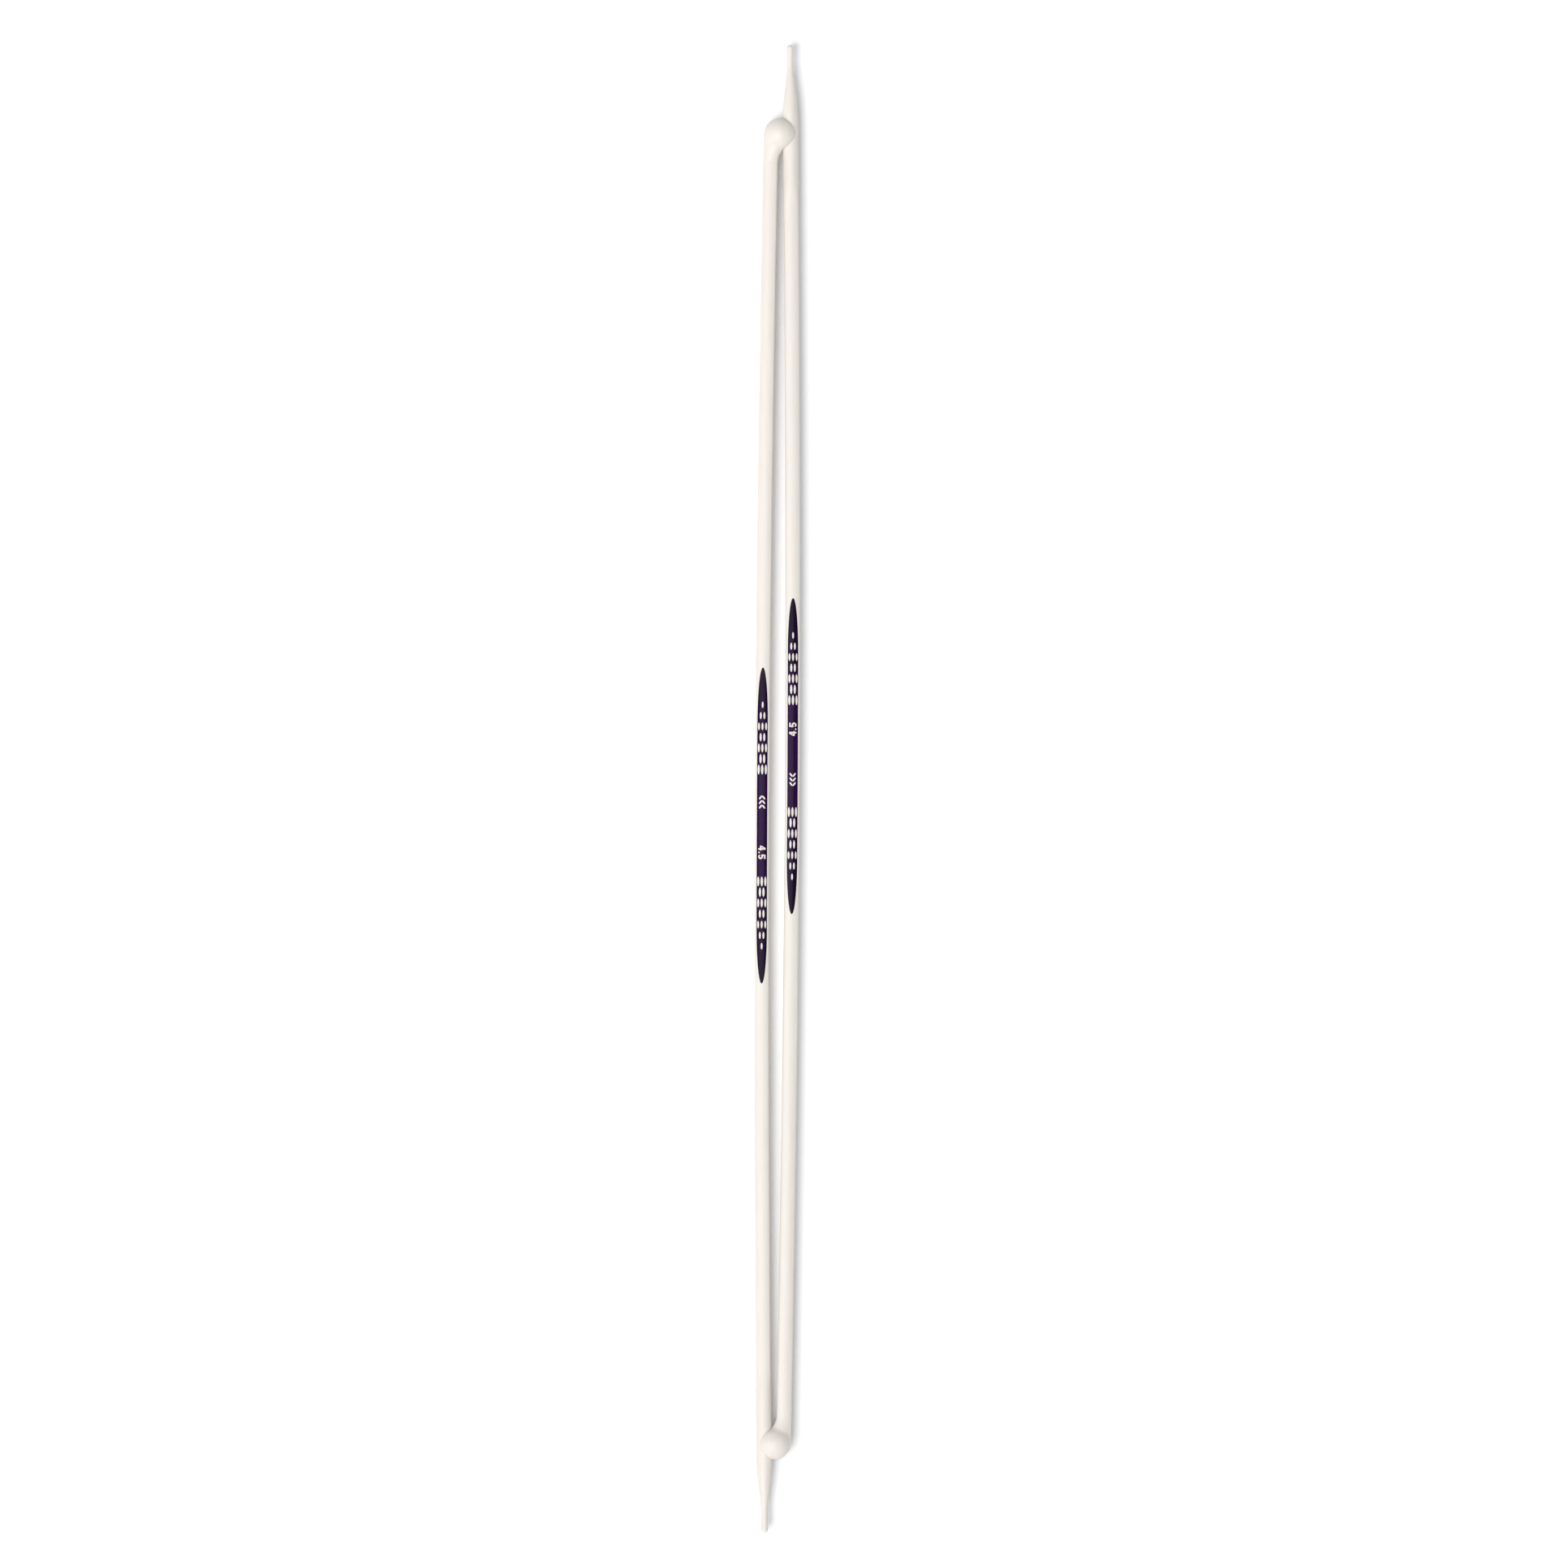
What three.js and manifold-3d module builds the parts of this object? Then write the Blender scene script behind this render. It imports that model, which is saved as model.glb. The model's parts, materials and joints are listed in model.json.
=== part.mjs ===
// A pair of single-pointed knitting needles, 4.5 mm gauge and 400 mm long, stored clipped together.
// Each needle is one polymer moulding with a drop-shaped tip, a soft triangular grip and a ball head.
// A groove in the side of each ball snaps round the other needle just behind its tip. The moulding is
// given as two solids, head and shaft, so that the collision hulls of the head leave its groove open.
// Units are millimetres and +Z is up. The origin is on the resting plane, midway between the two balls.
// +Y runs along the pair, towards the left needle's ball. All shapes are made for the left needle, and
// the right needle is the same one turned half a turn about Z, with its print a little nearer its ball.
import * as THREE from 'three';
import { ConvexGeometry } from 'three/addons/geometries/ConvexGeometry.js';
import { mergeVertices } from 'three/addons/utils/BufferGeometryUtils.js';
import Module from 'manifold-3d';

// ---- Driving dimensions -------------------------------------------------------------------------

const NEEDLE_LENGTH = 400;
const GAUGE = 4.5;

// Distances in this block are from the tip's end.
const TIP_BULB_RADIUS = 0.97;
const TIP_BULB_HANDLE = 2.6;
const TIP_NECK_RADIUS = 0.88;
const TIP_NECK_AT = 5.5;
const TIP_NECK_HANDLES = [4, 9];
const TAPER_HANDLE = 15;
const TAPER_LENGTH = 22.5;
const ROUND_LENGTH = 38;
const GRIP_FROM = 46;
const NOSE_START = THREE.MathUtils.degToRad(168);

const GRIP_WIDTH = 4.2;
const GRIP_CORNER_RADIUS = 0.9;
const GRIP_LEAN = THREE.MathUtils.degToRad(4);

const BALL_RADIUS = 4.4;
const BALL_Y = 185.2;
const BALL_SIDE_STEP = 2.5;
const BALL_LIFT = 0.7;
const REST_FLAT_RADIUS = 0.9;
const GROOVE_RADIUS = 2.3;
const GROOVE_LENGTH = 24;
const NECK_LENGTH = 6.4;
const NECK_CORE_RADIUS = 3.2;
const NECK_CORE_OFFSET = new THREE.Vector3(-0.5, -1, -0.15);
const SHAFT_END_SCALES = [[0, 0.97], [NECK_LENGTH / 2, 0.99], [NECK_LENGTH, 1]];
const HEAD_LENGTH = 10;
const HEAD_GAP = 0.04;

const AXIS_SPACING = 5.5;
const BOW = 1.35;
const BOW_HALF_SPAN = 179;

const PRINT_LENGTH = 89.3;
const PRINT_HALF_WIDTH = 1.52;
const PRINT_POINT_LENGTH = 15.5;
const PRINT_END_HALF_WIDTH = 0.05;
const LEFT_PRINT_FROM_TIP = 200;
const RIGHT_PRINT_FROM_TIP = 201.15;
const PRINT_THICKNESS = 0.15;
const PRINT_GAP = 0.03;

const DASH_ROWS = [1, 2, 3, 2, 3, 2, 3];
const DASH_FIRST_ROW = 34.1;
const DASH_ROW_PITCH = 3.05;
const DASH_SPACING = 1.03;
const DASH_HALF_LENGTHS = [0.93, 1.37];
const DASH_HALF_WIDTHS = [0.26, 0.33];

const SIZE_MARK_AT = 7.6;
const DIGIT_HEIGHT = 2.1;
const DIGIT_WIDTH = 1.25;
const DIGIT_STROKE = 0.42;
const DIGIT_SPACE = 0.3;

const STITCH_MARK_AT = 6.6;
const STITCH_PITCH = 1.3;
const LEAF_HALF_LENGTH = 0.66;
const LEAF_HALF_WIDTH = 0.25;
const LEAF_SIDE = 0.45;
const LEAF_SLANT = THREE.MathUtils.degToRad(38);

const SECTION_SIDES = 24;
const BALL_STEPS = 16;
const BOW_STEPS = 16;
const GRIP_BLEND_STEPS = 4;
const TIP_CURVE_STEPS = 6;
const PRINT_SIDES = 4;
const PRINT_STEPS = 22;
const WINDOW_CURVE_STEPS = 4;
const CUT_DEPTH = 1.2;
const WELD = 1e-5;

// ---- Derived sizes ------------------------------------------------------------------------------

const TIP_Y = BALL_Y + BALL_RADIUS - NEEDLE_LENGTH;
const BALL_Z = Math.sqrt(BALL_RADIUS ** 2 - REST_FLAT_RADIUS ** 2);
const AXIS_Z = BALL_Z - BALL_LIFT;
const GRIP_FACE_RADIUS = GRIP_WIDTH - GRIP_CORNER_RADIUS;
const GRIP_CORNER_REACH = (GRIP_WIDTH - 2 * GRIP_CORNER_RADIUS) / Math.sqrt(3);
const END_SLOPE = (BOW * Math.PI) / (2 * BOW_HALF_SPAN);
const BALL_CENTRE = new THREE.Vector3(BALL_SIDE_STEP - AXIS_SPACING / 2, BALL_Y, BALL_Z);
const HEAD_FROM_Y = BALL_Y - HEAD_LENGTH;

const wasm = await Module();
wasm.setup();

// ---- Solids -------------------------------------------------------------------------------------

function toSolid(geometry) {
  const bare = geometry.clone();
  bare.deleteAttribute('normal');
  bare.deleteAttribute('uv');
  const merged = mergeVertices(bare, WELD);
  const vertProperties = new Float32Array(merged.attributes.position.array);
  const triVerts = new Uint32Array(merged.index.array);
  return new wasm.Manifold(new wasm.Mesh({ numProp: 3, vertProperties, triVerts }));
}

function toGeometry(solid) {
  const mesh = solid.getMesh();
  const geometry = new THREE.BufferGeometry();
  geometry.setAttribute('position', new THREE.BufferAttribute(mesh.vertProperties, 3));
  geometry.setIndex(new THREE.BufferAttribute(mesh.triVerts, 1));
  geometry.computeVertexNormals();
  return geometry;
}

// ---- Centreline and cross-section ---------------------------------------------------------------

// The clips hold the shafts bowed apart: half a sine wave between them, and straight ends beyond it.
function axisX(y) {
  const clipX = -AXIS_SPACING / 2;
  const reach = Math.abs(y);
  if (reach > BOW_HALF_SPAN) return clipX + END_SLOPE * (reach - BALL_Y);
  const bow = BOW * Math.cos((Math.PI * y) / (2 * BOW_HALF_SPAN));
  return clipX + END_SLOPE * (BOW_HALF_SPAN - BALL_Y) - bow;
}

// Angles in a cross-section turn from +Z towards +X.
function polar(length, angle) {
  return new THREE.Vector2(length * Math.sin(angle), length * Math.cos(angle));
}

// A soft triangle of constant width: three shallow faces and three tight corners, all circular arcs.
// The angle is that of the outward normal, counted from the middle of the printed face.
function gripPoint(angle) {
  const third = (2 * Math.PI) / 3;
  const face = Math.round(angle / third) * third;
  const fromFace = angle - face;
  if (Math.abs(fromFace) <= Math.PI / 6 + 1e-9) {
    return polar(-GRIP_CORNER_REACH, face).add(polar(GRIP_FACE_RADIUS, angle));
  }
  const corner = face + (Math.sign(fromFace) * Math.PI) / 3;
  return polar(GRIP_CORNER_REACH, corner).add(polar(GRIP_CORNER_RADIUS, angle));
}

// The tip's outline: x is the distance from the tip's end, and y is the radius there.
function tipOutline() {
  const [neckIn, neckOut] = TIP_NECK_HANDLES;
  const outline = new THREE.Path();
  outline.absarc(TIP_BULB_RADIUS, 0, TIP_BULB_RADIUS, NOSE_START, Math.PI / 2, true);
  const neck = [TIP_NECK_AT, TIP_NECK_RADIUS];
  const full = [TAPER_LENGTH, GAUGE / 2];
  outline.bezierCurveTo(TIP_BULB_HANDLE, TIP_BULB_RADIUS, neckIn, TIP_NECK_RADIUS, ...neck);
  outline.bezierCurveTo(neckOut, TIP_NECK_RADIUS, TAPER_HANDLE, GAUGE / 2, ...full);
  return outline.getPoints(TIP_CURVE_STEPS);
}

// One ring of the shaft: where it is along the needle, its radius while round, how far it has turned
// into the soft triangle, and its scale.
function shaftRings() {
  const radius = GAUGE / 2;
  const rings = SHAFT_END_SCALES.map(([at, scale]) => ({ y: BALL_Y - at, radius, grip: 1, scale }));
  const gripEndY = TIP_Y + GRIP_FROM;
  for (let i = 0; i <= BOW_STEPS; i += 1) {
    const y = THREE.MathUtils.lerp(HEAD_FROM_Y, gripEndY, i / BOW_STEPS);
    rings.push({ y, radius, grip: 1, scale: 1 });
  }
  for (let i = 1; i <= GRIP_BLEND_STEPS; i += 1) {
    const t = i / GRIP_BLEND_STEPS;
    const y = THREE.MathUtils.lerp(gripEndY, TIP_Y + ROUND_LENGTH, t);
    rings.push({ y, radius, grip: 1 - THREE.MathUtils.smoothstep(t, 0, 1), scale: 1 });
  }
  for (const point of tipOutline().reverse()) {
    rings.push({ y: TIP_Y + point.x, radius: point.y, grip: 0, scale: 1 });
  }
  return rings;
}

function ringPoint(ring, angle) {
  const round = polar(ring.radius, angle);
  const offset = round.lerp(gripPoint(angle), ring.grip).multiplyScalar(ring.scale);
  offset.rotateAround(new THREE.Vector2(), GRIP_LEAN);
  return new THREE.Vector3(axisX(ring.y) + offset.x, ring.y, AXIS_Z + offset.y);
}

// ---- Moulding -----------------------------------------------------------------------------------

function shaftSolid() {
  const rings = shaftRings();
  const last = rings.length - 1;
  const geometry = new THREE.CylinderGeometry(1, 1, 1, SECTION_SIDES, last);
  const position = geometry.attributes.position;
  for (let i = 0; i < position.count; i += 1) {
    const ring = rings[Math.round((0.5 - position.getY(i)) * last)];
    const onRim = Math.hypot(position.getX(i), position.getZ(i)) > 0.5;
    const angle = Math.atan2(position.getX(i), position.getZ(i));
    const centre = new THREE.Vector3(axisX(ring.y), ring.y, AXIS_Z);
    const point = onRim ? ringPoint(ring, angle) : centre;
    position.setXYZ(i, point.x, point.y, point.z);
  }
  return toSolid(geometry);
}

function spherePoints(radius, centre) {
  const geometry = new THREE.SphereGeometry(radius, SECTION_SIDES, BALL_STEPS);
  geometry.translate(centre.x, centre.y, centre.z);
  const position = geometry.attributes.position;
  const point = (_, i) => new THREE.Vector3().fromBufferAttribute(position, i);
  return Array.from({ length: position.count }, point);
}

// The ball stands on a small flat, whose rim lies on the sphere.
function ballSolid() {
  const points = spherePoints(BALL_RADIUS, BALL_CENTRE).filter((point) => point.z > 0);
  for (let i = 0; i < SECTION_SIDES; i += 1) {
    const rim = polar(REST_FLAT_RADIUS, (2 * Math.PI * i) / SECTION_SIDES);
    points.push(new THREE.Vector3(BALL_CENTRE.x + rim.x, BALL_CENTRE.y + rim.y, 0));
  }
  return toSolid(new ConvexGeometry(points));
}

// The neck fairs the shaft into the ball: the hull of a core inside the ball and a ring of the shaft.
function neckSolid() {
  const ring = { y: BALL_Y - NECK_LENGTH, radius: GAUGE / 2, grip: 1, scale: 1 };
  const points = spherePoints(NECK_CORE_RADIUS, BALL_CENTRE.clone().add(NECK_CORE_OFFSET));
  for (let i = 0; i < SECTION_SIDES; i += 1) {
    points.push(ringPoint(ring, (2 * Math.PI * i) / SECTION_SIDES));
  }
  return toSolid(new ConvexGeometry(points));
}

// The clip groove lies on the other needle's axis, and opens through the side of the ball.
function grooveSolid() {
  const geometry = new THREE.CylinderGeometry(GROOVE_RADIUS, GROOVE_RADIUS, GROOVE_LENGTH, SECTION_SIDES);
  geometry.rotateZ(Math.atan(END_SLOPE));
  geometry.translate(AXIS_SPACING / 2, BALL_Y, AXIS_Z);
  return toSolid(geometry);
}

// The whole moulding, before its print's seat is cut.
function mouldingSolid() {
  const head = ballSolid().add(neckSolid()).subtract(grooveSolid());
  return shaftSolid().add(head);
}

// ---- Printed panel ------------------------------------------------------------------------------

// A point on the printed face: across is the arc length from its middle line, depth is below it.
function facePoint(across, y, depth) {
  const angle = across / GRIP_FACE_RADIUS;
  const offset = polar(-GRIP_CORNER_REACH, 0).add(polar(GRIP_FACE_RADIUS - depth, angle));
  offset.rotateAround(new THREE.Vector2(), GRIP_LEAN);
  return new THREE.Vector3(axisX(y) + offset.x, y, AXIS_Z + offset.y);
}

function printHalfWidth(fromMiddle) {
  const intoPoint = Math.max(0, Math.abs(fromMiddle) - (PRINT_LENGTH / 2 - PRINT_POINT_LENGTH));
  const share = Math.min(1, intoPoint / PRINT_POINT_LENGTH);
  return Math.max(PRINT_END_HALF_WIDTH, PRINT_HALF_WIDTH * Math.sqrt(1 - share ** 2));
}

// The panel's plate, following the bowed and crowned face. Grown by a gap and raised above the face,
// the same shape cuts its seat in the moulding.
function printSolid(middleY, gap, raised) {
  const geometry = new THREE.BoxGeometry(1, 1, 1, PRINT_SIDES, PRINT_STEPS, 1);
  const position = geometry.attributes.position;
  for (let i = 0; i < position.count; i += 1) {
    const share = Math.sin(Math.PI * position.getY(i));
    const fromMiddle = (share * PRINT_LENGTH) / 2;
    const halfWidth = printHalfWidth(fromMiddle) + gap;
    const depth = position.getZ(i) > 0 ? -raised : PRINT_THICKNESS + gap;
    const y = middleY + fromMiddle + Math.sign(share) * gap * Math.abs(share);
    const point = facePoint(position.getX(i) * 2 * halfWidth, y, depth);
    position.setXYZ(i, point.x, point.y, point.z);
  }
  return toSolid(geometry);
}

// A cutter through the panel, from a flat shape whose middle goes to (across, y).
function windowSolid(shape, across, y) {
  const options = { depth: CUT_DEPTH, bevelEnabled: false, curveSegments: WINDOW_CURVE_STEPS };
  const geometry = new THREE.ExtrudeGeometry(shape, options);
  geometry.translate(0, 0, -CUT_DEPTH / 2);
  geometry.rotateY(across / GRIP_FACE_RADIUS - GRIP_LEAN);
  const point = facePoint(across, y, 0);
  geometry.translate(point.x, point.y, point.z);
  return toSolid(geometry);
}

function ellipse(halfAcross, halfAlong, turn = 0) {
  const shape = new THREE.Shape();
  shape.absellipse(0, 0, halfAcross, halfAlong, 0, 2 * Math.PI, false, turn);
  return shape;
}

// Rows of dashes that grow from each point of the panel towards its middle.
function dashWindows(middleY) {
  const windows = [];
  for (const end of [-1, 1]) {
    DASH_ROWS.forEach((count, row) => {
      const t = row / (DASH_ROWS.length - 1);
      const halfLength = THREE.MathUtils.lerp(...DASH_HALF_LENGTHS, t);
      const halfWidth = THREE.MathUtils.lerp(...DASH_HALF_WIDTHS, t);
      const y = middleY + end * (DASH_FIRST_ROW - row * DASH_ROW_PITCH);
      for (let i = 0; i < count; i += 1) {
        const across = (i - (count - 1) / 2) * DASH_SPACING;
        windows.push(windowSolid(ellipse(halfWidth, halfLength), across, y));
      }
    });
  }
  return windows;
}

function polygon(points) {
  return new THREE.Shape(points.map(([x, y]) => new THREE.Vector2(x, y)));
}

function openFour() {
  const w = DIGIT_WIDTH;
  const h = DIGIT_HEIGHT;
  const s = DIGIT_STROKE;
  const bar = h * 0.32;
  return [[w - s, 0], [w, 0], [w, h], [w - s, h], [w - s, bar + s], [s, bar + s], [s, h], [0, h], [0, bar],
    [w - s, bar]];
}

function five() {
  const w = DIGIT_WIDTH;
  const h = DIGIT_HEIGHT;
  const s = DIGIT_STROKE;
  const bar = h / 2 - s / 2;
  return [[0, 0], [w, 0], [w, bar + s], [s, bar + s], [s, h - s], [w, h - s], [w, h], [0, h], [0, bar],
    [w - s, bar], [w - s, s], [0, s]];
}

function decimalPoint() {
  const s = DIGIT_STROKE;
  return [[0, 0], [s, 0], [s, s], [0, s]];
}

// The needle's size in millimetres, read along the needle towards its tip.
function sizeMarkWindows(middleY) {
  const glyphs = [[openFour(), DIGIT_WIDTH], [decimalPoint(), DIGIT_STROKE], [five(), DIGIT_WIDTH]];
  const length = glyphs.reduce((sum, [, width]) => sum + width + DIGIT_SPACE, -DIGIT_SPACE);
  let start = -length / 2;
  return glyphs.map(([outline, width]) => {
    const turned = outline.map(([u, v]) => [v - DIGIT_HEIGHT / 2, -(u + start)]);
    start += width + DIGIT_SPACE;
    return windowSolid(polygon(turned), 0, middleY - SIZE_MARK_AT);
  });
}

// Three knit stitches, each a pair of leaning leaves.
function stitchWindows(middleY) {
  const windows = [];
  for (const stitch of [-1, 0, 1]) {
    for (const side of [-1, 1]) {
      const leaf = ellipse(LEAF_HALF_WIDTH, LEAF_HALF_LENGTH, side * LEAF_SLANT);
      const y = middleY + STITCH_MARK_AT + stitch * STITCH_PITCH;
      windows.push(windowSolid(leaf, side * LEAF_SIDE, y));
    }
  }
  return windows;
}

function printGeometry(middleY) {
  const windows = [...dashWindows(middleY), ...sizeMarkWindows(middleY), ...stitchWindows(middleY)];
  const plate = printSolid(middleY, 0, 0);
  return toGeometry(windows.reduce((solid, cutter) => solid.subtract(cutter), plate));
}

// ---- Assembly -----------------------------------------------------------------------------------

const ivoryPolymer = { color: 0xf1eae0, roughness: 0.55, metalness: 0 };
const auberginePrint = { color: 0x22103a, roughness: 0.35, metalness: 0 };

function needle(name, moulding, printFromTip, turn) {
  const middleY = TIP_Y + printFromTip;
  const seated = moulding.subtract(printSolid(middleY, PRINT_GAP, CUT_DEPTH));
  const head = seated.trimByPlane([0, 1, 0], HEAD_FROM_Y);
  const shaft = seated.trimByPlane([0, -1, 0], HEAD_GAP - HEAD_FROM_Y);
  const solids = [
    { suffix: 'head', geometry: toGeometry(head), look: ivoryPolymer },
    { suffix: 'shaft', geometry: toGeometry(shaft), look: ivoryPolymer },
    { suffix: 'print', geometry: printGeometry(middleY), look: auberginePrint },
  ];
  const group = new THREE.Group();
  for (const { suffix, geometry, look } of solids) {
    const mesh = new THREE.Mesh(geometry, new THREE.MeshStandardMaterial(look));
    mesh.name = `${name}_${suffix}`;
    group.add(mesh);
  }
  group.rotation.z = turn;
  return group;
}

const moulding = mouldingSolid();
const pair = new THREE.Group();
pair.add(needle('left_needle', moulding, LEFT_PRINT_FROM_TIP, 0));
pair.add(needle('right_needle', moulding, RIGHT_PRINT_FROM_TIP, Math.PI));

export default pair;
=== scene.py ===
import json
from math import atan, cos, degrees, pi, radians, sin, sqrt

import bmesh
import bpy
import numpy as np
from mathutils import Matrix, Vector


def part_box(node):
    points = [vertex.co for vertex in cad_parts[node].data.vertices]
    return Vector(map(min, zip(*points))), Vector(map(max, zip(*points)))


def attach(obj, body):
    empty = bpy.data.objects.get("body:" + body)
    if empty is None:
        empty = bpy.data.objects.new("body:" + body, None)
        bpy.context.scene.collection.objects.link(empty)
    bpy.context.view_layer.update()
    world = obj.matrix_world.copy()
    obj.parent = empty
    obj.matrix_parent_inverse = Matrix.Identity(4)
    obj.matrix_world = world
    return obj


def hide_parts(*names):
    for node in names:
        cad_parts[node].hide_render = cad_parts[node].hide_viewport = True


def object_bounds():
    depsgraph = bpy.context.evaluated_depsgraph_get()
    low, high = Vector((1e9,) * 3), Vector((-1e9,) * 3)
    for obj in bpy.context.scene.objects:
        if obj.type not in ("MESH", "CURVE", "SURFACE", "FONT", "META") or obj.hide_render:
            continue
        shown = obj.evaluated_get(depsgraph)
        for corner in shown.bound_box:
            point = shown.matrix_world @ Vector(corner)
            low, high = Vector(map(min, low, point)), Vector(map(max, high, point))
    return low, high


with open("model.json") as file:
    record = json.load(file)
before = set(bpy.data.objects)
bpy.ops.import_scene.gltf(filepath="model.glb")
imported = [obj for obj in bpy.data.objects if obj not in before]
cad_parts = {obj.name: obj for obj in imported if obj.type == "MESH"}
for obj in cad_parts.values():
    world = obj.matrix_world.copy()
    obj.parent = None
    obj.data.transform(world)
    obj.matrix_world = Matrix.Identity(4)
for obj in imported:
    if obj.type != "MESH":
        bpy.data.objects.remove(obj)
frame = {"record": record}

cad_box = [list(corner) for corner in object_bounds()]

# ---- Sizes in millimetres ------------------------------------------------------------------------
# They are the CAD's, apart from the neck and the digits, which are plainer there.

MM = 0.001
rest_x, rest_y, _ = frame["record"]["mounts"][0]["pos_m"]
head_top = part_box("left_needle_head")[1].z
tip_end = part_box("left_needle_shaft")[0].y

GAUGE_RADIUS = 2.25
TIP_BULB_RADIUS = 0.97
TIP_BULB_HANDLE = 2.6
TIP_NECK_RADIUS = 0.88
TIP_NECK_AT = 5.5
TIP_NECK_HANDLES = (4, 9)
TAPER_HANDLE = 15
TAPER_LENGTH = 22.5
ROUND_LENGTH = 38.0
GRIP_FROM = 46.0

GRIP_CORNER_RADIUS = 0.9
GRIP_FACE_RADIUS = 3.3
GRIP_CORNER_REACH = (GRIP_FACE_RADIUS - GRIP_CORNER_RADIUS) / sqrt(3)
GRIP_LEAN = radians(4)

BALL_RADIUS = 4.4
BALL_LIFT = 0.7
BALL = np.array([rest_x, rest_y, head_top]) / MM - [0, 0, BALL_RADIUS]
TIP_Y = tip_end / MM
AXIS_Z = BALL[2] - BALL_LIFT
GROOVE_RADIUS = 2.3
NECK_LENGTH = 6.4
NECK_RADIUS = 1.55
NECK_CORE_RADIUS = 3.2
NECK_CORE_OFFSET = (-0.3, -1.0, -0.15)
NECK_CORE_SHIFT = 0.45
SHAFT_END_SCALE = 0.97

HALF_SPACING = 2.75
BOW = 1.35
BOW_HALF_SPAN = 179.0
END_SLOPE = BOW * pi / (2 * BOW_HALF_SPAN)

PRINT_LENGTH = 89.3
PRINT_HALF_WIDTH = 1.52
PRINT_POINT_LENGTH = 15.5
PRINT_MIDDLES = {"left": -10.4, "right": -9.25}

DASH_ROWS = [1, 2, 3, 2, 3, 2, 3]
DASH_FIRST_ROW = 34.1
DASH_ROW_PITCH = 3.05
DASH_SPACING = 1.03
DASH_HALF_LENGTHS = (0.93, 1.37)
DASH_HALF_WIDTHS = (0.26, 0.33)

SIZE_MARK_AT = 7.6
DIGIT_HEIGHT = 2.1
DIGIT_WIDTH = 1.38
DIGIT_STROKE = 0.44
DIGIT_SPACE = 0.28
DOT_RADIUS = 0.55 * DIGIT_STROKE

STITCH_MARK_AT = 6.6
STITCH_PITCH = 1.3
LEAF_HALF_LENGTH = 0.66
LEAF_HALF_WIDTH = 0.25
LEAF_SIDE = 0.45
LEAF_SLANT = radians(38)

# ---- Centreline and section ----------------------------------------------------------------------


def axis_x(y):
    """The bowed centreline: half a sine wave between the clips, and straight ends beyond it."""
    reach = np.abs(y)
    straight = -HALF_SPACING + END_SLOPE * (reach - BALL[1])
    bow = BOW * np.cos(pi * y / (2 * BOW_HALF_SPAN))
    bowed = -HALF_SPACING + END_SLOPE * (BOW_HALF_SPAN - BALL[1]) - bow
    return np.where(reach > BOW_HALF_SPAN, straight, bowed)


def smoothstep(low, high, value):
    """0 below low and 1 above high, with a smooth rise between them."""
    t = np.clip((value - low) / (high - low), 0, 1)
    return t * t * (3 - 2 * t)


def grip_offset(angle):
    """A point of the soft triangle by its outward normal, counted from the printed face's middle."""
    third = 2 * pi / 3
    face = np.round(angle / third) * third
    from_face = angle - face
    corner = face + np.sign(from_face) * pi / 3
    on_face = np.abs(from_face) <= pi / 6
    middle = np.where(on_face, face, corner)
    reach = np.where(on_face, -GRIP_CORNER_REACH, GRIP_CORNER_REACH)
    radius = np.where(on_face, GRIP_FACE_RADIUS, GRIP_CORNER_RADIUS)
    across = reach * np.sin(middle) + radius * np.sin(angle)
    up = reach * np.cos(middle) + radius * np.cos(angle)
    return across, up


def grip_distance(across, up):
    """Signed distance from the same soft triangle."""
    third = 2 * pi / 3
    face = np.round(np.arctan2(across, up) / third) * third
    side = np.abs(across * np.cos(face) - up * np.sin(face))
    out = across * np.sin(face) + up * np.cos(face)
    from_face = np.hypot(side, out + GRIP_CORNER_REACH) - GRIP_FACE_RADIUS
    corner_side = GRIP_CORNER_REACH * sin(pi / 3)
    corner_out = GRIP_CORNER_REACH * cos(pi / 3)
    from_corner = np.hypot(side - corner_side, out - corner_out) - GRIP_CORNER_RADIUS
    return np.where(np.arctan2(side, out + GRIP_CORNER_REACH) <= pi / 6, from_face, from_corner)


def lean(across, up, angle):
    """Offsets in a section, turned about its middle."""
    return across * cos(angle) - up * sin(angle), across * sin(angle) + up * cos(angle)


# ---- Head, as a signed distance ------------------------------------------------------------------

BALL_FILLET = 0.6
NECK_FILLET = 1.4
NECK_FROM = 5.9
SHAFT_END_BEYOND = 0.3
SHAFT_END_ROUNDING = 1.2
LIP_ROUNDING = 0.32
FLAT_ROUNDING = 0.12
PARTING_HEIGHT = 0.04
PARTING_WIDTH = 0.1
PARTING_NECK_FADE = (5.2, 3.4)
PARTING_GROOVE_FADE = (-0.35, -0.05)
HEAD_LENGTH = 12.0
HEAD_STEP = 0.1
HEAD_GRID_SIDES = (-5.6, 4.6)
HEAD_GRID_MARGIN = 0.25
SETTLE_ROUNDS = 4
SETTLE_REACH = 0.01
LEAST_SLOPE_SQUARED = 0.2


def blend_min(a, b, size):
    """The union of two distances, with a fillet of about this size."""
    h = np.clip(size - np.abs(a - b), 0, None) / size
    return np.minimum(a, b) - h * h * size / 4


def blend_max(a, b, size):
    """What two distances have in common, with its edge rounded."""
    return -blend_min(-a, -b, size)


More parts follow.
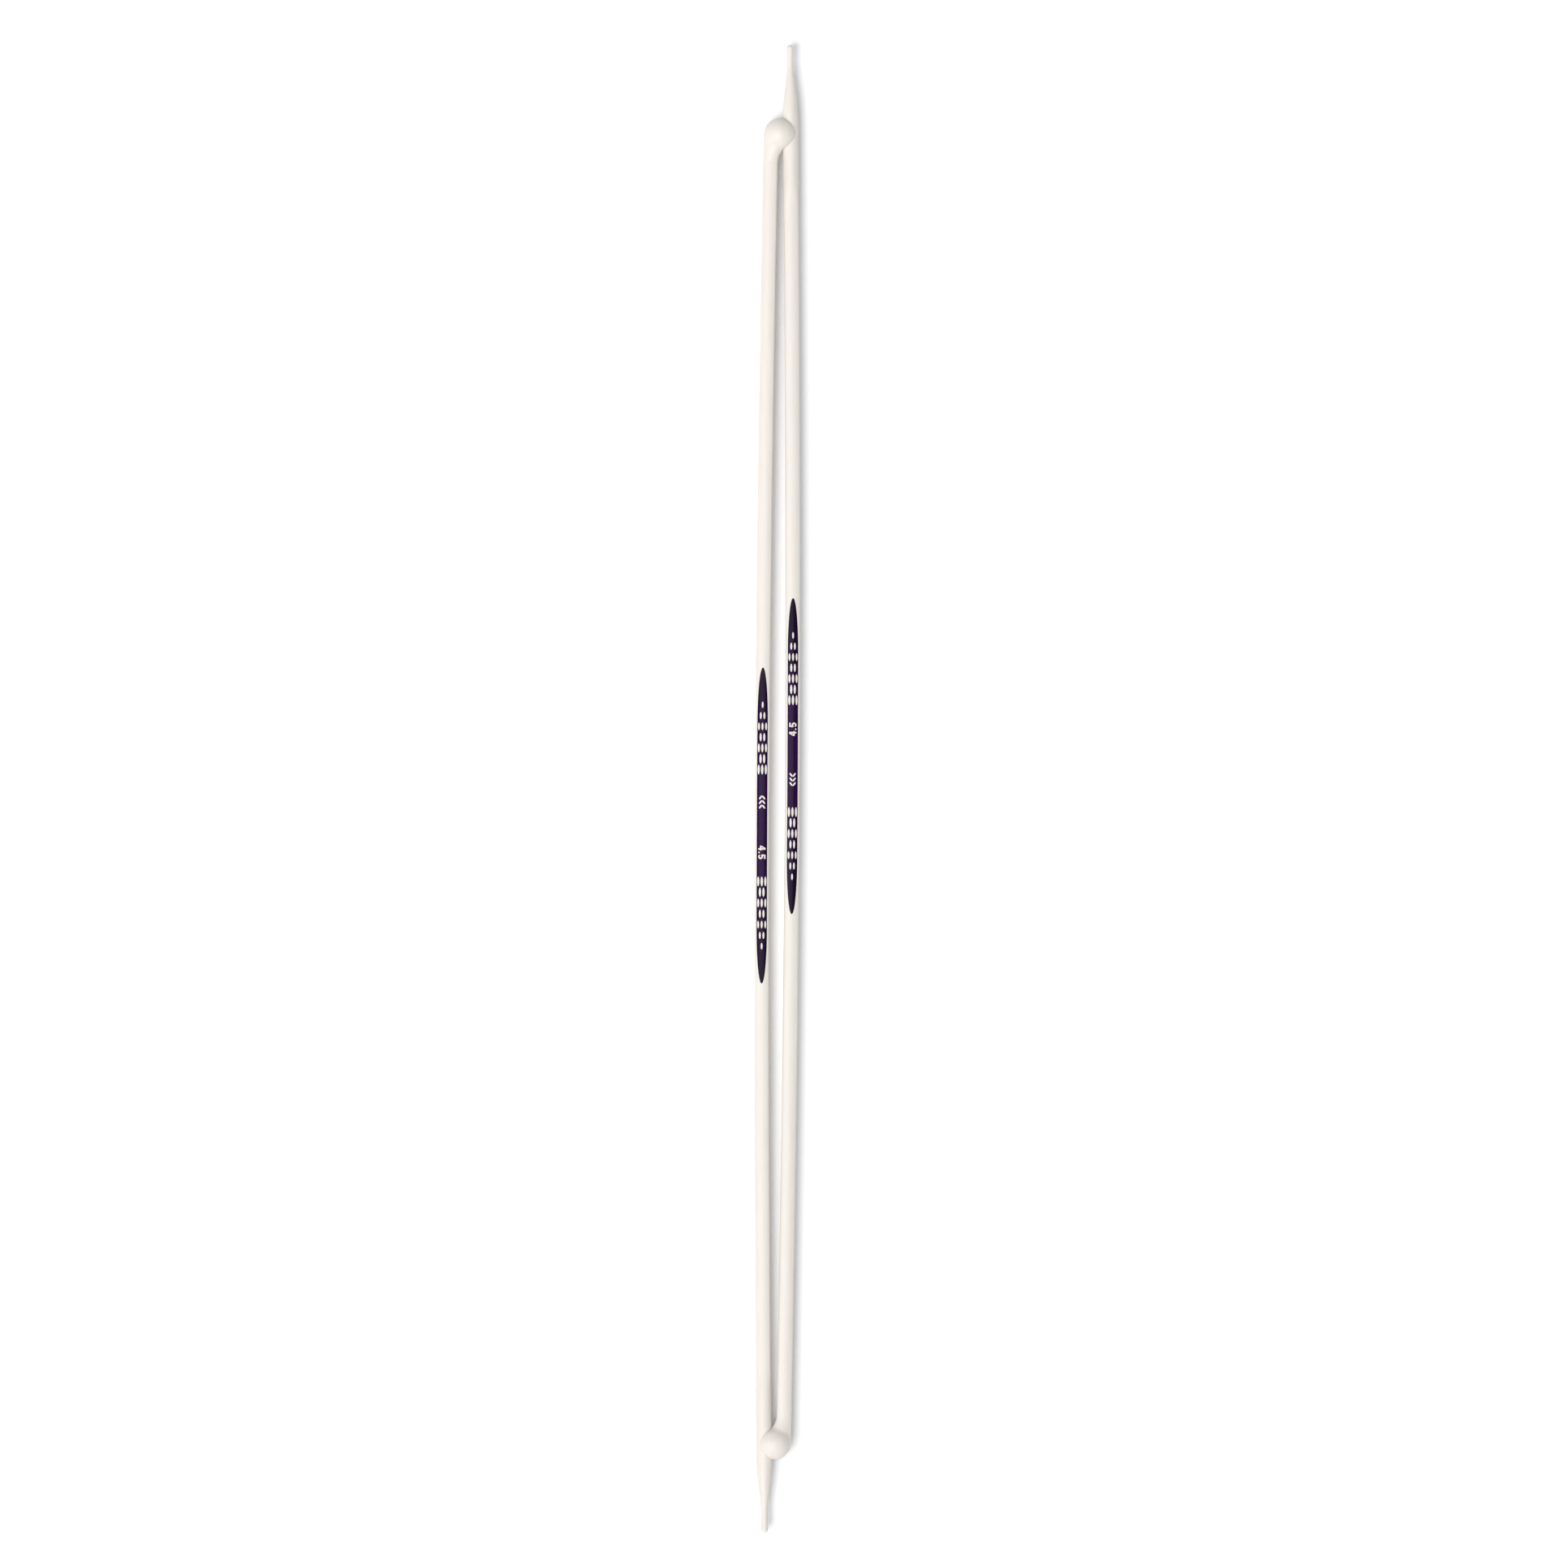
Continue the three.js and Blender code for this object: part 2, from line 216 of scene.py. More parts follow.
def round_cone(point, start, end, start_radius, end_radius):
    """Signed distance from the hull of two spheres."""
    axis = end - start
    length2 = axis @ axis
    taper = start_radius - end_radius
    cone2 = length2 - taper**2
    offset = point - start
    along = offset @ axis
    beyond = along - length2
    side2 = ((offset * length2 - along[..., None] * axis) ** 2).sum(-1)
    from_end = np.sqrt(side2 + beyond**2 * length2) / length2 - end_radius
    from_start = np.sqrt(side2 + along**2 * length2) / length2 - start_radius
    from_side = (np.sqrt(side2 * cone2 / length2) + along * taper) / length2 - start_radius
    limit = np.sign(taper) * taper**2 * side2
    at_end = np.sign(beyond) * cone2 * beyond**2 * length2 > limit
    at_start = np.sign(along) * cone2 * along**2 * length2 < limit
    return np.where(at_end, from_end, np.where(at_start, from_start, from_side))


def head_distance(x, y, z):
    """Signed distance from the head and the start of the shaft."""
    beyond_neck = smoothstep(BALL[1] - NECK_LENGTH, BALL[1], y)
    scale = 1 - (1 - SHAFT_END_SCALE) * beyond_neck
    across, up = lean(x - axis_x(y), z - AXIS_Z, -GRIP_LEAN)
    shaft = grip_distance(across / scale, up / scale) * scale
    shaft = blend_max(shaft, y - BALL[1] - SHAFT_END_BEYOND, SHAFT_END_ROUNDING)
    neck_y = BALL[1] - NECK_FROM
    neck_start = np.array([float(axis_x(neck_y)) + NECK_CORE_SHIFT, neck_y, AXIS_Z])
    neck_end = BALL + NECK_CORE_OFFSET
    neck = round_cone(np.stack([x, y, z], -1), neck_start, neck_end, NECK_RADIUS, NECK_CORE_RADIUS)
    ball = np.sqrt((x - BALL[0]) ** 2 + (y - BALL[1]) ** 2 + (z - BALL[2]) ** 2) - BALL_RADIUS
    head = blend_min(blend_min(shaft, neck, NECK_FILLET), ball, BALL_FILLET)

    turn = atan(END_SLOPE)
    groove_side = (x - HALF_SPACING) * cos(turn) + (y - BALL[1]) * sin(turn)
    groove = np.hypot(groove_side, z - AXIS_Z) - GROOVE_RADIUS
    head = blend_max(head, -groove, LIP_ROUNDING)
    head = blend_max(head, -z, FLAT_ROUNDING)

    to_groove = np.array([HALF_SPACING - BALL[0], AXIS_Z - BALL[2]])
    to_groove = to_groove / np.hypot(*to_groove)
    from_parting = (x - BALL[0]) * to_groove[0] + (z - BALL[2]) * to_groove[1]
    past_neck = smoothstep(BALL[1] - PARTING_NECK_FADE[0], BALL[1] - PARTING_NECK_FADE[1], y)
    on_ball = past_neck * smoothstep(*PARTING_GROOVE_FADE, groove)
    return head - PARTING_HEIGHT * on_ball * np.exp(-((from_parting / PARTING_WIDTH) ** 2))


def surface_net(values, origin, step):
    """Points, quads and the points' cells of the zero surface in a grid of signed distances."""
    cells = tuple(n - 1 for n in values.shape)
    total = np.zeros(cells + (3,))
    count = np.zeros(cells, int)
    inside = values < 0
    edges = []
    for axis in range(3):
        low = [slice(None)] * 3
        high = [slice(None)] * 3
        low[axis] = slice(0, -1)
        high[axis] = slice(1, None)
        a, b = values[tuple(low)], values[tuple(high)]
        crossed = inside[tuple(low)] != inside[tuple(high)]
        share = np.where(crossed, a / np.where(crossed, a - b, 1), 0)
        p, q = [k for k in range(3) if k != axis]
        edges.append((axis, p, q, crossed, inside[tuple(low)]))
        for i in (0, 1):
            for j in (0, 1):
                window = [slice(None)] * 3
                window[p] = slice(i, i + cells[p])
                window[q] = slice(j, j + cells[q])
                here = crossed[tuple(window)]
                count += here
                total[..., axis] += share[tuple(window)]
                total[..., p] += here * i
                total[..., q] += here * j
    active = count > 0
    index = np.full(cells, -1)
    index[active] = np.arange(active.sum())
    cell = np.argwhere(active)
    points = origin + step * (cell + total[active] / count[active][:, None])
    quads = []
    for axis, p, q, crossed, starts_inside in edges:
        at = np.argwhere(crossed)
        at = at[(at[:, p] > 0) & (at[:, q] > 0) & (at[:, p] < cells[p]) & (at[:, q] < cells[q])]
        ring = []
        for dp, dq in ((-1, -1), (0, -1), (0, 0), (-1, 0)):
            corner = at.copy()
            corner[:, p] += dp
            corner[:, q] += dq
            ring.append(index[tuple(corner.T)])
        quad = np.stack(ring, 1)
        forward = starts_inside[tuple(at.T)] == ((q - p) * (1 if axis != 1 else -1) > 0)
        quads.append(np.where(forward[:, None], quad, quad[:, ::-1]))
    return points, np.concatenate(quads), cell


def settle(points, held=()):
    """Moves points onto the head's surface along its gradient, keeping the held coordinates."""
    for _ in range(SETTLE_ROUNDS):
        value = head_distance(*points.T)
        slope = np.zeros_like(points)
        for k in range(3):
            if k in held:
                continue
            ahead, behind = points.copy(), points.copy()
            ahead[:, k] += SETTLE_REACH
            behind[:, k] -= SETTLE_REACH
            rise = head_distance(*ahead.T) - head_distance(*behind.T)
            slope[:, k] = rise / (2 * SETTLE_REACH)
        slope_squared = np.maximum((slope**2).sum(1), LEAST_SLOPE_SQUARED)
        points = points - slope * (value / slope_squared)[:, None]
    return points


def head_mesh():
    """The head's surface, open where it meets the shaft."""
    margin = HEAD_GRID_MARGIN
    low = np.array([HEAD_GRID_SIDES[0], BALL[1] - HEAD_LENGTH, -margin])
    high = np.array([HEAD_GRID_SIDES[1], BALL[1] + BALL_RADIUS + margin, head_top / MM + margin])
    counts = np.ceil((high - low) / HEAD_STEP).astype(int) + 1
    grid = [low[k] + HEAD_STEP * np.arange(counts[k]) for k in range(3)]
    values = head_distance(*np.meshgrid(*grid, indexing="ij"))
    points, quads, cell = surface_net(values, low, HEAD_STEP)
    edge = cell[:, 1] == 0
    points = settle(points)
    rim = points[edge]
    rim[:, 1] = low[1]
    points[edge] = settle(rim, held=(1,))
    return points, quads[~edge[quads].all(1)]


# ---- Shaft, as rings -----------------------------------------------------------------------------

SECTION_SIDES = 96
SHAFT_STEP = 1.6
SEAM_GAP = 0.35
GRIP_BLEND_RINGS = 20
TAPER_RINGS = 34
WAIST_RINGS = 16
NOSE_RINGS = 14


def bezier(points, steps):
    """Points along a cubic curve through the first and last of four points."""
    t = np.linspace(0, 1, steps + 1)[:, None]
    a, b, c, d = (np.array(p, float) for p in points)
    return a * (1 - t) ** 3 + 3 * b * t * (1 - t) ** 2 + 3 * c * t**2 * (1 - t) + d * t**3


def tip_outline():
    """Distance from the tip's end, and the radius there, from the shaft to the nose."""
    bulb, neck, full = TIP_BULB_RADIUS, TIP_NECK_RADIUS, GAUGE_RADIUS
    turn = np.linspace(0, pi / 2, NOSE_RINGS + 1)[1:]
    nose = np.stack([bulb - bulb * np.cos(turn), bulb * np.sin(turn)], 1)
    handles = [(TIP_BULB_HANDLE, bulb), (TIP_NECK_HANDLES[0], neck)]
    waist = bezier([(bulb, bulb), *handles, (TIP_NECK_AT, neck)], WAIST_RINGS)[1:]
    handles = [(TIP_NECK_HANDLES[1], neck), (TAPER_HANDLE, full)]
    taper = bezier([(TIP_NECK_AT, neck), *handles, (TAPER_LENGTH, full)], TAPER_RINGS)[1:]
    return np.concatenate([nose, waist, taper])[::-1]


def shaft_rings():
    """One row for each ring: y, the radius while round, and how far it is the soft triangle."""
    top = BALL[1] - HEAD_LENGTH - SEAM_GAP
    grip_end = TIP_Y + GRIP_FROM
    round_end = TIP_Y + ROUND_LENGTH
    rows = []
    for y in np.linspace(top, grip_end, int((top - grip_end) / SHAFT_STEP)):
        rows.append((y, GAUGE_RADIUS, 1.0))
    for t in np.linspace(0, 1, GRIP_BLEND_RINGS + 1)[1:]:
        y = grip_end + (round_end - grip_end) * t
        rows.append((y, GAUGE_RADIUS, 1 - float(smoothstep(0, 1, t))))
    for along, radius in tip_outline():
        rows.append((TIP_Y + along, radius, 0.0))
    return rows


def ring_points(y, radius, grip, angles):
    """Points of one ring, part soft triangle and part circle."""
    across, up = grip_offset(angles)
    across = across * grip + radius * np.sin(angles) * (1 - grip)
    up = up * grip + radius * np.cos(angles) * (1 - grip)
    across, up = lean(across, up, GRIP_LEAN)
    return np.stack([axis_x(y) + across, np.full(len(angles), y), AXIS_Z + up], 1)


def open_loop(quads):
    """The one open edge of a mesh of quads, as its points in order."""
    sides = {(ring[k], ring[(k + 1) % 4]) for ring in quads.tolist() for k in range(4)}
    following = {b: a for a, b in sides if (b, a) not in sides}
    loop = [next(iter(following))]
    while following[loop[-1]] != loop[0]:
        loop.append(following[loop[-1]])
    return np.array(loop)


def turned_loop(loop, points):
    """Angles and indices of a loop round +Y, from its lowest angle up, closed on its first point."""
    centre = points[loop].mean(0)
    angles = np.arctan2(points[loop, 0] - centre[0], points[loop, 2] - centre[2])
    start = int(np.argmin(angles))
    loop, angles = np.roll(loop, -start), np.roll(angles, -start)
    quarter = len(loop) // 4
    if angles[quarter] > angles[-quarter]:
        loop, angles = np.roll(loop[::-1], 1), np.roll(angles[::-1], 1)
    return [*angles, angles[0] + 2 * pi], [*loop, loop[0]]


def stitch(loop_a, loop_b, points):
    """Triangles between two loops round the same axis."""
    angles_a, a = turned_loop(loop_a, points)
    angles_b, b = turned_loop(loop_b, points)
    i = j = 0
    faces = []
    while i < len(a) - 1 or j < len(b) - 1:
        if j == len(b) - 1 or (i < len(a) - 1 and angles_a[i + 1] <= angles_b[j + 1]):
            faces.append((a[i + 1], a[i], b[j]))
            i += 1
        else:
            faces.append((b[j], b[j + 1], a[i]))
            j += 1
    return faces


def moulding_mesh():
    """Points in millimetres and faces of one whole moulding."""
    head, quads = head_mesh()
    angles = np.linspace(-pi, pi, SECTION_SIDES, endpoint=False)
    rings = [ring_points(*row, angles) for row in shaft_rings()]
    nose = np.array([[float(axis_x(TIP_Y)), TIP_Y, AXIS_Z]])
    points = np.concatenate([head, *rings, nose])
    # The CAD's facets lie a few micrometres inside its curves, and the mesh keeps to the CAD's box.
    points = np.clip(points, np.array(cad_box[0]) / MM, np.array(cad_box[1]) / MM)
    first = len(head)
    faces = [tuple(quad) for quad in quads]
    faces += stitch(open_loop(quads), first + np.arange(SECTION_SIDES), points)
    for r in range(len(rings) - 1):
        here, below = first + r * SECTION_SIDES, first + (r + 1) * SECTION_SIDES
        for i in range(SECTION_SIDES):
            j = (i + 1) % SECTION_SIDES
            faces.append((here + j, here + i, below + i, below + j))
    last, pole = first + (len(rings) - 1) * SECTION_SIDES, len(points) - 1
    for i in range(SECTION_SIDES):
        faces.append((last + (i + 1) % SECTION_SIDES, last + i, pole))
    return points, faces


# ---- Printed panel -------------------------------------------------------------------------------
# In the digits' sizes, HEIGHT and SIDE are shares of the height and width, STROKES and RADII count
# strokes and bowl radii, TURN is in degrees, and the rest is in millimetres.

FOUR_BAR_HEIGHT = 0.24
FOUR_STEM_SIDE = 0.84
FOUR_TOP_STROKES = 1.15
FOUR_BACK_STROKES = 1.05
FOUR_HOLE_TOP_STROKES = 2.35
FOUR_HOLE_SIDE_STROKES = 0.98
FIVE_TOP_SIDES = (0.1, 0.95)
FIVE_BACK_INSET = 0.04
FIVE_BOWL_TURN_BACK = 6
FIVE_BOWL_END_TURN = -155
FIVE_BOWL_INNER_TURN = 140
FIVE_ELBOW_SIDE = 0.02
FIVE_ELBOW_RAISE = 0.35
FIVE_ELBOW_RADII = 0.86

PRINT_STANDS_PROUD = 0.018
PRINT_SINKS_IN = 0.01
POINT_SAMPLES = 60
ELLIPSE_STEPS = 28
ARC_STEPS = 18
CUTS_ACROSS = (1.4, 0.2)
CUTS_ALONG = (44.0, 2.0)
SAME_POINT = 1e-5
ON_CUT = 1e-6
SLIVER = 0.004


def face_points(across, y, depth):
    """Points on the printed face: across is the arc length from its middle line."""
    angle = across / GRIP_FACE_RADIUS
    radius = GRIP_FACE_RADIUS - depth
    side, up = radius * np.sin(angle), radius * np.cos(angle) - GRIP_CORNER_REACH
    side, up = lean(side, up, GRIP_LEAN)
    return np.stack([axis_x(y) + side, y, AXIS_Z + up], 1)


def ellipse(half_across, half_along, turn=0.0):
    t = np.linspace(0, 2 * pi, ELLIPSE_STEPS, endpoint=False)
    u, v = half_across * np.cos(t), half_along * np.sin(t)
    return np.stack([u * cos(turn) - v * sin(turn), u * sin(turn) + v * cos(turn)], 1)


def arc(centre, radius, start, end):
    t = np.radians(np.linspace(start, end, ARC_STEPS + 1))
    return [(centre[0] + radius * cos(a), centre[1] + radius * sin(a)) for a in t]


def panel_outline():
    """A long strip that narrows to a point at each end."""
    straight = PRINT_LENGTH / 2 - PRINT_POINT_LENGTH
    t = np.linspace(0, pi / 2, POINT_SAMPLES)
    along = straight + PRINT_POINT_LENGTH * np.sin(t)
    width = PRINT_HALF_WIDTH * np.cos(t)
    right = np.stack([width, along], 1)
    left = np.stack([-width[::-1][1:], along[::-1][1:]], 1)
    top = np.concatenate([right, left])
    return np.concatenate([top, -top])


def dashes():
    """Rows of dashes towards both ends, longer and wider towards the middle."""
    for end in (-1, 1):
        for row, count in enumerate(DASH_ROWS):
            t = row / (len(DASH_ROWS) - 1)
            half_length = DASH_HALF_LENGTHS[0] + (DASH_HALF_LENGTHS[1] - DASH_HALF_LENGTHS[0]) * t
            half_width = DASH_HALF_WIDTHS[0] + (DASH_HALF_WIDTHS[1] - DASH_HALF_WIDTHS[0]) * t
            along = end * (DASH_FIRST_ROW - row * DASH_ROW_PITCH)
            for i in range(count):
                across = (i - (count - 1) / 2) * DASH_SPACING
                yield ellipse(half_width, half_length) + [across, along]


def four():
    """Outline and inner triangle of a bold 4."""
    w, h, s = DIGIT_WIDTH, DIGIT_HEIGHT, DIGIT_STROKE
    bar, right = FOUR_BAR_HEIGHT * h, FOUR_STEM_SIDE * w
    outer = [(right - s, 0), (right, 0), (right, bar), (w, bar), (w, bar + s), (right, bar + s)]
    outer += [(right, h), (right - FOUR_TOP_STROKES * s, h), (0, bar + FOUR_BACK_STROKES * s)]
    outer += [(0, bar), (right - s, bar)]
    inner = [(right - s, bar + s), (right - s, bar + FOUR_HOLE_TOP_STROKES * s)]
    inner += [(FOUR_HOLE_SIDE_STROKES * s, bar + s)]
    return [outer, inner]


def five():
    """Outline of a bold 5 with a round bowl."""
    w, h, s = DIGIT_WIDTH, DIGIT_HEIGHT, DIGIT_STROKE
    bowl, radius = (w / 2, w / 2), w / 2
    back = degrees(np.arccos((s - bowl[0]) / radius))
    left, right = FIVE_TOP_SIDES[0] * w, FIVE_TOP_SIDES[1] * w
    outer = [(left, h), (right, h), (right, h - s), (s + FIVE_BACK_INSET, h - s)]
    outer += arc(bowl, radius, back - FIVE_BOWL_TURN_BACK, FIVE_BOWL_END_TURN)
    outer += arc(bowl, radius - s, FIVE_BOWL_END_TURN, FIVE_BOWL_INNER_TURN)
    outer += [(FIVE_ELBOW_SIDE * w, FIVE_ELBOW_RADII * radius + FIVE_ELBOW_RAISE)]
    return [outer]


def size_mark():
    """The gauge number, read along the needle towards its tip."""
    dot = ellipse(DOT_RADIUS, DOT_RADIUS) + DOT_RADIUS
    glyphs = [(four(), DIGIT_WIDTH), ([dot], 2 * DOT_RADIUS), (five(), DIGIT_WIDTH)]
    length = sum(width for _, width in glyphs) + DIGIT_SPACE * (len(glyphs) - 1)
    start = -length / 2
    for outlines, width in glyphs:
        for outline in outlines:
            turned = [(v - DIGIT_HEIGHT / 2, -(u + start) - SIZE_MARK_AT) for u, v in outline]
            yield np.array(turned)
        start += width + DIGIT_SPACE


def knit_stitches():
    """Three stitches, each of two slanting leaves."""
    for row in (-1, 0, 1):
        for side in (-1, 1):
            leaf = ellipse(LEAF_HALF_WIDTH, LEAF_HALF_LENGTH, side * LEAF_SLANT)
            yield leaf + [side * LEAF_SIDE, STITCH_MARK_AT + row * STITCH_PITCH]


def filled_panel():
    """The panel with its windows, filled, as a flat bmesh."""
    curve = bpy.data.curves.new("flat_panel", "CURVE")
    curve.dimensions = "2D"
    curve.fill_mode = "BOTH"
    for outline in [panel_outline(), *dashes(), *size_mark(), *knit_stitches()]:
        spline = curve.splines.new("POLY")
        spline.points.add(len(outline) - 1)
        for point, (u, v) in zip(spline.points, outline):
            point.co = (u, v, 0, 1)
        spline.use_cyclic_u = True
    holder = bpy.data.objects.new("flat_panel", curve)
    bpy.context.collection.objects.link(holder)
    bpy.context.view_layer.update()
    evaluated = holder.evaluated_get(bpy.context.evaluated_depsgraph_get())
    flat = bpy.data.meshes.new_from_object(evaluated)
    bpy.data.objects.remove(holder)
    bpy.data.curves.remove(curve)
    bm = bmesh.new()
    bm.from_mesh(flat)
    bpy.data.meshes.remove(flat)
    bmesh.ops.remove_doubles(bm, verts=bm.verts, dist=SAME_POINT)
    return bm


def cut_places(reach, pitch):
    return np.arange(-reach, reach + pitch / 4, pitch)


def cut_finely(bm):
    """Cuts a flat panel into faces small enough to follow the needle, and closes up slivers."""
    cuts = [((u, 0, 0), (1, 0, 0)) for u in cut_places(*CUTS_ACROSS)]
    cuts += [((0, v, 0), (0, 1, 0)) for v in cut_places(*CUTS_ALONG)]
    for at, normal in cuts:
        everything = bm.verts[:] + bm.edges[:] + bm.faces[:]
        bmesh.ops.bisect_plane(bm, geom=everything, dist=ON_CUT, plane_co=at, plane_no=normal)
    bmesh.ops.remove_doubles(bm, verts=bm.verts, dist=SLIVER)
    bmesh.ops.dissolve_degenerate(bm, edges=bm.edges, dist=SLIVER)


def flat_panel():
    """Points, faces and rim edges of the flat panel with its windows."""
    bm = filled_panel()
    cut_finely(bm)
    bm.verts.index_update()
    points = np.array([v.co[:2] for v in bm.verts])
    faces = []
    for face in bm.faces:
        ring = [v.index for v in face.verts]
        faces.append(ring if face.normal.z > 0 else ring[::-1])
    rim = []
    for face, ring in zip(bm.faces, faces):
        pairs = {frozenset(v.index for v in e.verts) for e in face.edges if len(e.link_faces) == 1}
        rim += [(a, b) for a, b in zip(ring, ring[1:] + ring[:1]) if frozenset((a, b)) in pairs]
    bm.free()
    return points, faces, rim


def panel_mesh(flat, faces, rim, middle):
    """Points in millimetres and faces of a panel, a thin closed plate with its middle at y."""
    n = len(flat)
    top = face_points(flat[:, 0], middle + flat[:, 1], -PRINT_STANDS_PROUD)
    under = face_points(flat[:, 0], middle + flat[:, 1], PRINT_SINKS_IN)
    closed = [tuple(ring) for ring in faces]
    closed += [tuple(n + i for i in reversed(ring)) for ring in faces]
    closed += [(b, a, n + a, n + b) for a, b in rim]
    return np.concatenate([top, under]), closed


# ---- Materials -----------------------------------------------------------------------------------
# Noise scales are in cells per metre. Bump distances and the subsurface radius are in metres.

NOISE_RANGE = (0.25, 0.75)
TONE_STOPS = (0.3, 0.7)

IVORY_TONES = [(0.772, 0.716, 0.668), (0.772, 0.726, 0.658)]
IVORY_MOTTLE = [(0.955, 0.95, 0.94), (1, 1, 1)]
IVORY_ROUGHNESS = (0.42, 0.56)
IVORY_FLOW = (1, 0.12, 1)
IVORY_GRAIN_HEIGHT = 0.00001
IVORY_WAVE_HEIGHT = 0.00003
IVORY_SUBSURFACE = 0.15
IVORY_SUBSURFACE_RADIUS = (0.0012, 0.0008, 0.0005)
IVORY_IOR = 1.49

INK_TONES = [(0.011, 0.001, 0.023), (0.024, 0.002, 0.046)]
INK_TONE_STOPS = (0.3, 0.75)
# The next two rows darken the print towards its points: painted shade standing in for the weaker
# reflection there.
PRINT_END_SHADE_STOPS = (0, 0.16, 0.35, 0.65, 0.84, 1)
PRINT_END_SHADE_LEVELS = (0.35, 0.7, 1, 1, 0.7, 0.35)
INK_ROUGHNESS = (0.2, 0.28)
INK_FLOW = (1, 0.05, 1)
INK_GRAIN_HEIGHT = 0.000006
INK_IOR = 1.5
INK_SPECULAR = 0.07


def new_material(name):
    material = bpy.data.materials.new(name)
    material.use_nodes = True
    tree = material.node_tree
    return material, tree, tree.nodes["Principled BSDF"]


def link(tree, source, target):
    tree.links.new(source, target)


def noise_node(tree, vector, scale, detail=3.0, roughness=0.5):
    node = tree.nodes.new("ShaderNodeTexNoise")
    node.inputs["Scale"].default_value = scale
    node.inputs["Detail"].default_value = detail
    node.inputs["Roughness"].default_value = roughness
    link(tree, vector, node.inputs["Vector"])
    return node.outputs["Fac"]


def ramp_node(tree, value, stops, colours):
    node = tree.nodes.new("ShaderNodeValToRGB")
    ramp = node.color_ramp
    while len(ramp.elements) < len(stops):
        ramp.elements.new(0.5)
    for element, stop, colour in zip(ramp.elements, stops, colours):
        element.position = stop
        element.color = (*colour, 1)
    link(tree, value, node.inputs["Fac"])
    return node.outputs["Color"]


def multiplied(tree, a, b):
    node = tree.nodes.new("ShaderNodeMix")
    node.data_type = "RGBA"
    node.blend_type = "MULTIPLY"
    node.inputs["Factor"].default_value = 1.0
    link(tree, a, node.inputs["A"])
    link(tree, b, node.inputs["B"])
    return node.outputs["Result"]


def map_range(tree, value, given, wanted):
    node = tree.nodes.new("ShaderNodeMapRange")
    names = ("From Min", "From Max", "To Min", "To Max")
    for name, number in zip(names, (*given, *wanted)):
        node.inputs[name].default_value = number
    link(tree, value, node.inputs["Value"])
    return node.outputs["Result"]


def stretched(tree, source, scale):
    node = tree.nodes.new("ShaderNodeMapping")
    node.inputs["Scale"].default_value = scale
    link(tree, source, node.inputs["Vector"])
    return node.outputs["Vector"]


def bump_node(tree, height, distance, strength, normal=None):
    node = tree.nodes.new("ShaderNodeBump")
    node.inputs["Distance"].default_value = distance
    node.inputs["Strength"].default_value = strength
    link(tree, height, node.inputs["Height"])
    if normal is not None:
        link(tree, normal, node.inputs["Normal"])
    return node.outputs["Normal"]


def ivory_polymer():
    """Moulded polymer: cream, a little pinker or yellower from place to place, finely mottled."""
    material, tree, shader = new_material("ivory_polymer")
    place = tree.nodes.new("ShaderNodeTexCoord").outputs["Object"]
    flow = stretched(tree, place, IVORY_FLOW)
    drift = noise_node(tree, place, scale=14, detail=2.0)
    base = ramp_node(tree, drift, TONE_STOPS, IVORY_TONES)
    mottle = noise_node(tree, flow, scale=900, detail=4.0, roughness=0.6)
    mottled = ramp_node(tree, mottle, TONE_STOPS, IVORY_MOTTLE)
    link(tree, multiplied(tree, base, mottled), shader.inputs["Base Color"])
    link(tree, map_range(tree, mottle, NOISE_RANGE, IVORY_ROUGHNESS), shader.inputs["Roughness"])
    grain = noise_node(tree, place, scale=9000, detail=3.0, roughness=0.6)
    waves = noise_node(tree, flow, scale=500, detail=2.0)
    fine = bump_node(tree, grain, IVORY_GRAIN_HEIGHT, strength=0.5)
    normal = bump_node(tree, waves, IVORY_WAVE_HEIGHT, strength=0.4, normal=fine)
    link(tree, normal, shader.inputs["Normal"])
    shader.inputs["Subsurface Weight"].default_value = IVORY_SUBSURFACE
    shader.inputs["Subsurface Radius"].default_value = IVORY_SUBSURFACE_RADIUS
    shader.inputs["Subsurface Scale"].default_value = 1.0
    shader.inputs["IOR"].default_value = IVORY_IOR
    return material


def aubergine_print():
    """Dark satin print, uneven in density and sheen; painted shade makes it nearly black towards its
    points, where it catches less reflection.
    """
    material, tree, shader = new_material("aubergine_print")
    coordinates = tree.nodes.new("ShaderNodeTexCoord")
    place = coordinates.outputs["Object"]
    split = tree.nodes.new("ShaderNodeSeparateXYZ")
    link(tree, coordinates.outputs["Generated"], split.inputs["Vector"])
    # Painted shade: a grey that falls towards both ends of the panel darkens the print near its
    # points.
    greys = [(share,) * 3 for share in PRINT_END_SHADE_LEVELS]
    painted_end_shade = ramp_node(tree, split.outputs["Y"], PRINT_END_SHADE_STOPS, greys)
    streaks = noise_node(tree, stretched(tree, place, INK_FLOW), scale=2600, detail=3.0)
    colour = ramp_node(tree, streaks, INK_TONE_STOPS, INK_TONES)
    link(tree, multiplied(tree, colour, painted_end_shade), shader.inputs["Base Color"])
    link(tree, map_range(tree, streaks, NOISE_RANGE, INK_ROUGHNESS), shader.inputs["Roughness"])
    grain = noise_node(tree, place, scale=12000, detail=2.0)
    normal = bump_node(tree, grain, INK_GRAIN_HEIGHT, strength=0.5)
    link(tree, normal, shader.inputs["Normal"])
    shader.inputs["IOR"].default_value = INK_IOR
    shader.inputs["Specular IOR Level"].default_value = INK_SPECULAR
    return material


# ---- Pieces --------------------------------------------------------------------------------------

WELD = 0.001
PRINT_SHARP_ANGLE = radians(50)


